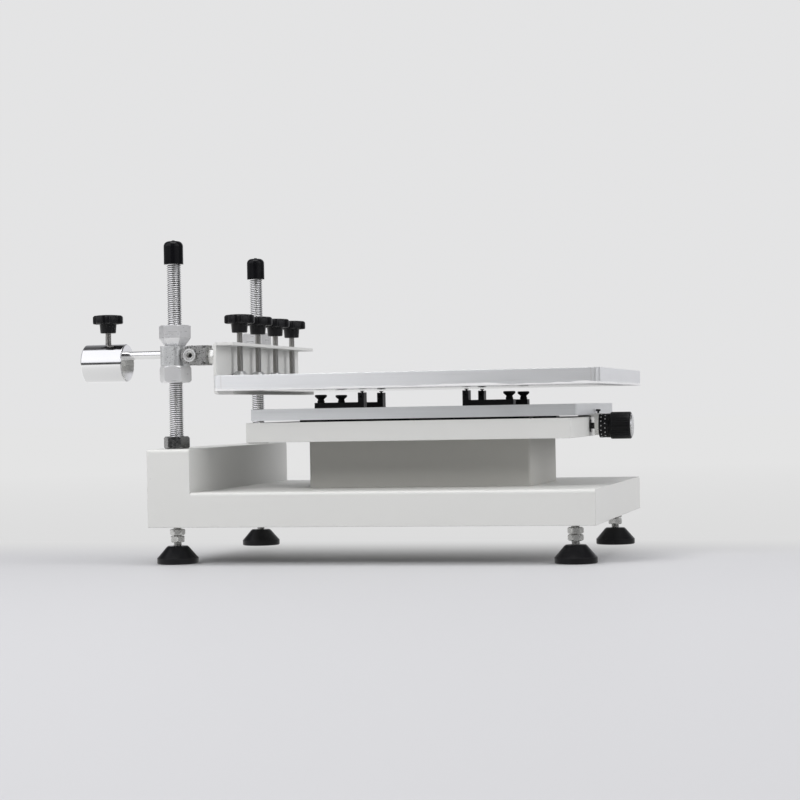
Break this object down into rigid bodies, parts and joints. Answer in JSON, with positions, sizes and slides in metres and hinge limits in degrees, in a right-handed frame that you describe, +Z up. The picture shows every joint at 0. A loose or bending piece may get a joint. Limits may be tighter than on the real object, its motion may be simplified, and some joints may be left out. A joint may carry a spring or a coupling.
{
  "type": "manual_screen_printing_machine",
  "caption": "Manual screen printing machine for circuit boards: steel base on levelling feet, fine-adjusted table and a hinged, counterweighted arm with a screen frame.",
  "frame": {"origin": "middle of the overall length and width, on the surface that the feet stand on", "axes": "+X from the columns to the operator's end, +Y across the machine to the far side, +Z up"},
  "size_m": [0.5234, 0.325, 0.3117],
  "materials": {
    "painted_sheet": "satin",
    "plate_aluminium": "brushed",
    "frame_aluminium": "matte",
    "nut_aluminium": "polished",
    "cast_metal": "satin",
    "bright_steel": "satin",
    "black_steel": "satin",
    "chrome": "polished",
    "black_plastic": "matte",
    "black_anodised": "satin",
    "black_rubber": "matte"
  },
  "bodies": {
    "chassis": {"base_shell": "painted_sheet", "pedestal": "painted_sheet", "tray": "painted_sheet", "guide_rods": "chrome", "adjust_nut": "black_steel", "columns": "bright_steel", "column_nuts": "bright_steel", "column_caps": "black_rubber", "table_screws": "bright_steel"},
    "carriage": {"clamp_blocks": "cast_metal", "hinge_pins": "bright_steel"},
    "near_top_nut": {"near_upper_nut": "nut_aluminium"},
    "near_bottom_nut": {"near_lower_nut": "nut_aluminium"},
    "far_top_nut": {"far_upper_nut": "nut_aluminium"},
    "far_bottom_nut": {"far_lower_nut": "nut_aluminium"},
    "screen_arm": {"crossbar": "painted_sheet", "knuckles": "cast_metal", "crossbar_nuts": "bright_steel", "screen_frame": "frame_aluminium", "stencil": "bright_steel", "weight_rod": "bright_steel"},
    "weight": {"counterweight": "chrome"},
    "weight_lock": {"weight_stem": "bright_steel", "weight_knob": "black_plastic"},
    "table": {"table_plate": "plate_aluminium", "slide_blocks": "black_plastic", "adjust_bracket": "bright_steel", "lock_ring": "black_anodised"},
    "adjuster": {"adjust_screw": "black_steel", "adjust_knob": "black_plastic", "knob_cap": "nut_aluminium"},
    "ring_lock": {"lock_screw": "black_steel"},
    "foot_1": {"clamp_foot_1": "cast_metal"},
    "clamp_1": {"clamp_stem_1": "bright_steel", "clamp_knob_1": "black_plastic"},
    "board_holder_1": {"holder_1": "black_anodised"},
    "thumb_screw_1": {"holder_screw_1": "black_plastic"},
    "pad_1": {"foot_pad_1": "black_rubber"},
    "stud_1": {"foot_stud_1": "bright_steel"},
    "foot_2": {"clamp_foot_2": "cast_metal"},
    "clamp_2": {"clamp_stem_2": "bright_steel", "clamp_knob_2": "black_plastic"},
    "board_holder_2": {"holder_2": "black_anodised"},
    "thumb_screw_2": {"holder_screw_2": "black_plastic"},
    "pad_2": {"foot_pad_2": "black_rubber"},
    "stud_2": {"foot_stud_2": "bright_steel"},
    "foot_3": {"clamp_foot_3": "cast_metal"},
    "clamp_3": {"clamp_stem_3": "bright_steel", "clamp_knob_3": "black_plastic"},
    "board_holder_3": {"holder_3": "black_anodised"},
    "thumb_screw_3": {"holder_screw_3": "black_plastic"},
    "pad_3": {"foot_pad_3": "black_rubber"},
    "stud_3": {"foot_stud_3": "bright_steel"},
    "foot_4": {"clamp_foot_4": "cast_metal"},
    "clamp_4": {"clamp_stem_4": "bright_steel", "clamp_knob_4": "black_plastic"},
    "board_holder_4": {"holder_4": "black_anodised"},
    "thumb_screw_4": {"holder_screw_4": "black_plastic"},
    "pad_4": {"foot_pad_4": "black_rubber"},
    "stud_4": {"foot_stud_4": "bright_steel"}
  },
  "joints": [
    {"name": "screen_height", "type": "slide", "parent": "chassis", "child": "carriage", "axis": [0, 0, 1], "range_m": [-0.001, 0.03]},
    {"name": "near_top_nut_spin", "type": "hinge", "parent": "carriage", "child": "near_top_nut", "pos_m": [-0.1627, -0.1325, 0.2195], "axis": [0, 0, 1], "range_deg": [-181, 5401]},
    {"name": "near_bottom_nut_spin", "type": "hinge", "parent": "carriage", "child": "near_bottom_nut", "pos_m": [-0.1627, -0.1325, 0.1823], "axis": [0, 0, 1], "range_deg": [-181, 5401]},
    {"name": "far_top_nut_spin", "type": "hinge", "parent": "carriage", "child": "far_top_nut", "pos_m": [-0.1627, 0.1325, 0.2195], "axis": [0, 0, 1], "range_deg": [-181, 5401]},
    {"name": "far_bottom_nut_spin", "type": "hinge", "parent": "carriage", "child": "far_bottom_nut", "pos_m": [-0.1627, 0.1325, 0.1823], "axis": [0, 0, 1], "range_deg": [-181, 5401]},
    {"name": "arm_swing", "type": "hinge", "parent": "carriage", "child": "screen_arm", "pos_m": [-0.1437, 0, 0.2], "axis": [0, -1, 0], "range_deg": [0, 45]},
    {"name": "clamp_1_lift", "type": "slide", "parent": "screen_arm", "child": "foot_1", "axis": [0, 0, 1], "range_m": [0, 0.015]},
    {"name": "clamp_1_turn", "type": "hinge", "parent": "foot_1", "child": "clamp_1", "pos_m": [-0.1109, -0.09, 0.2], "axis": [0, 0, 1], "range_deg": [-1, 5401]},
    {"name": "clamp_2_lift", "type": "slide", "parent": "screen_arm", "child": "foot_2", "axis": [0, 0, 1], "range_m": [0, 0.015]},
    {"name": "clamp_2_turn", "type": "hinge", "parent": "foot_2", "child": "clamp_2", "pos_m": [-0.1109, -0.03, 0.2], "axis": [0, 0, 1], "range_deg": [-1, 5401]},
    {"name": "clamp_3_lift", "type": "slide", "parent": "screen_arm", "child": "foot_3", "axis": [0, 0, 1], "range_m": [0, 0.015]},
    {"name": "clamp_3_turn", "type": "hinge", "parent": "foot_3", "child": "clamp_3", "pos_m": [-0.1109, 0.03, 0.2], "axis": [0, 0, 1], "range_deg": [-1, 5401]},
    {"name": "clamp_4_lift", "type": "slide", "parent": "screen_arm", "child": "foot_4", "axis": [0, 0, 1], "range_m": [0, 0.015]},
    {"name": "clamp_4_turn", "type": "hinge", "parent": "foot_4", "child": "clamp_4", "pos_m": [-0.1109, 0.09, 0.2], "axis": [0, 0, 1], "range_deg": [-1, 5401]},
    {"name": "weight_slide", "type": "slide", "parent": "screen_arm", "child": "weight", "axis": [1, 0, 0], "range_m": [0, 0.012]},
    {"name": "weight_lock_turn", "type": "hinge", "parent": "weight", "child": "weight_lock", "pos_m": [-0.2394, -0.1113, 0.22], "axis": [0, 0, 1], "range_deg": [0, 720]},
    {"name": "table_feed", "type": "slide", "parent": "chassis", "child": "table", "axis": [1, 0, 0], "range_m": [-0.0015, 0.0135]},
    {"name": "adjuster_turn", "type": "hinge", "parent": "table", "child": "adjuster", "pos_m": [0.2473, 0, 0.125], "axis": [1, 0, 0], "range_deg": [-541, 4861]},
    {"name": "ring_lock_turn", "type": "hinge", "parent": "table", "child": "ring_lock", "pos_m": [0.228, 0, 0.14], "axis": [0, 0, 1], "range_deg": [0, 720]},
    {"name": "holder_1_slide", "type": "slide", "parent": "table", "child": "board_holder_1", "axis": [-1, 0, 0], "range_m": [0, 0.015]},
    {"name": "thumb_1_turn", "type": "hinge", "parent": "table", "child": "thumb_screw_1", "pos_m": [-0.0437, -0.039, 0.155], "axis": [0, 0, 1], "range_deg": [0, 720]},
    {"name": "holder_2_slide", "type": "slide", "parent": "table", "child": "board_holder_2", "axis": [-1, 0, 0], "range_m": [0, 0.015]},
    {"name": "thumb_2_turn", "type": "hinge", "parent": "table", "child": "thumb_screw_2", "pos_m": [-0.0437, 0.039, 0.155], "axis": [0, 0, 1], "range_deg": [0, 720]},
    {"name": "holder_3_slide", "type": "slide", "parent": "table", "child": "board_holder_3", "axis": [1, 0, 0], "range_m": [0, 0.015]},
    {"name": "thumb_3_turn", "type": "hinge", "parent": "table", "child": "thumb_screw_3", "pos_m": [0.1468, -0.039, 0.155], "axis": [0, 0, 1], "range_deg": [0, 720]},
    {"name": "holder_4_slide", "type": "slide", "parent": "table", "child": "board_holder_4", "axis": [1, 0, 0], "range_m": [0, 0.015]},
    {"name": "thumb_4_turn", "type": "hinge", "parent": "table", "child": "thumb_screw_4", "pos_m": [0.1468, 0.039, 0.155], "axis": [0, 0, 1], "range_deg": [0, 720]},
    {"name": "pad_1_reach", "type": "slide", "parent": "chassis", "child": "pad_1", "axis": [0, 0, 1], "range_m": [-0.01, 0.0025]},
    {"name": "stud_1_turn", "type": "hinge", "parent": "pad_1", "child": "stud_1", "pos_m": [-0.1627, -0.135, 0.025], "axis": [0, 0, 1], "range_deg": [-2881, 721]},
    {"name": "pad_2_reach", "type": "slide", "parent": "chassis", "child": "pad_2", "axis": [0, 0, 1], "range_m": [-0.01, 0.0025]},
    {"name": "stud_2_turn", "type": "hinge", "parent": "pad_2", "child": "stud_2", "pos_m": [-0.1627, 0.135, 0.025], "axis": [0, 0, 1], "range_deg": [-2881, 721]},
    {"name": "pad_3_reach", "type": "slide", "parent": "chassis", "child": "pad_3", "axis": [0, 0, 1], "range_m": [-0.01, 0.0025]},
    {"name": "stud_3_turn", "type": "hinge", "parent": "pad_3", "child": "stud_3", "pos_m": [0.2243, -0.135, 0.025], "axis": [0, 0, 1], "range_deg": [-2881, 721]},
    {"name": "pad_4_reach", "type": "slide", "parent": "chassis", "child": "pad_4", "axis": [0, 0, 1], "range_m": [-0.01, 0.0025]},
    {"name": "stud_4_turn", "type": "hinge", "parent": "pad_4", "child": "stud_4", "pos_m": [0.2243, 0.135, 0.025], "axis": [0, 0, 1], "range_deg": [-2881, 721]}
  ],
  "couplings": [
    {"joint": "near_top_nut_spin", "follows": "screen_height", "rad_per_m": 3141.6},
    {"joint": "near_bottom_nut_spin", "follows": "screen_height", "rad_per_m": 3141.6},
    {"joint": "far_top_nut_spin", "follows": "screen_height", "rad_per_m": 3141.6},
    {"joint": "far_bottom_nut_spin", "follows": "screen_height", "rad_per_m": 3141.6},
    {"joint": "clamp_1_turn", "follows": "clamp_1_lift", "rad_per_m": 6283.2},
    {"joint": "stud_1_turn", "follows": "pad_1_reach", "rad_per_m": 5026.5},
    {"joint": "clamp_2_turn", "follows": "clamp_2_lift", "rad_per_m": 6283.2},
    {"joint": "stud_2_turn", "follows": "pad_2_reach", "rad_per_m": 5026.5},
    {"joint": "clamp_3_turn", "follows": "clamp_3_lift", "rad_per_m": 6283.2},
    {"joint": "stud_3_turn", "follows": "pad_3_reach", "rad_per_m": 5026.5},
    {"joint": "clamp_4_turn", "follows": "clamp_4_lift", "rad_per_m": 6283.2},
    {"joint": "stud_4_turn", "follows": "pad_4_reach", "rad_per_m": 5026.5},
    {"joint": "adjuster_turn", "follows": "table_feed", "rad_per_m": 6283.2}
  ]
}
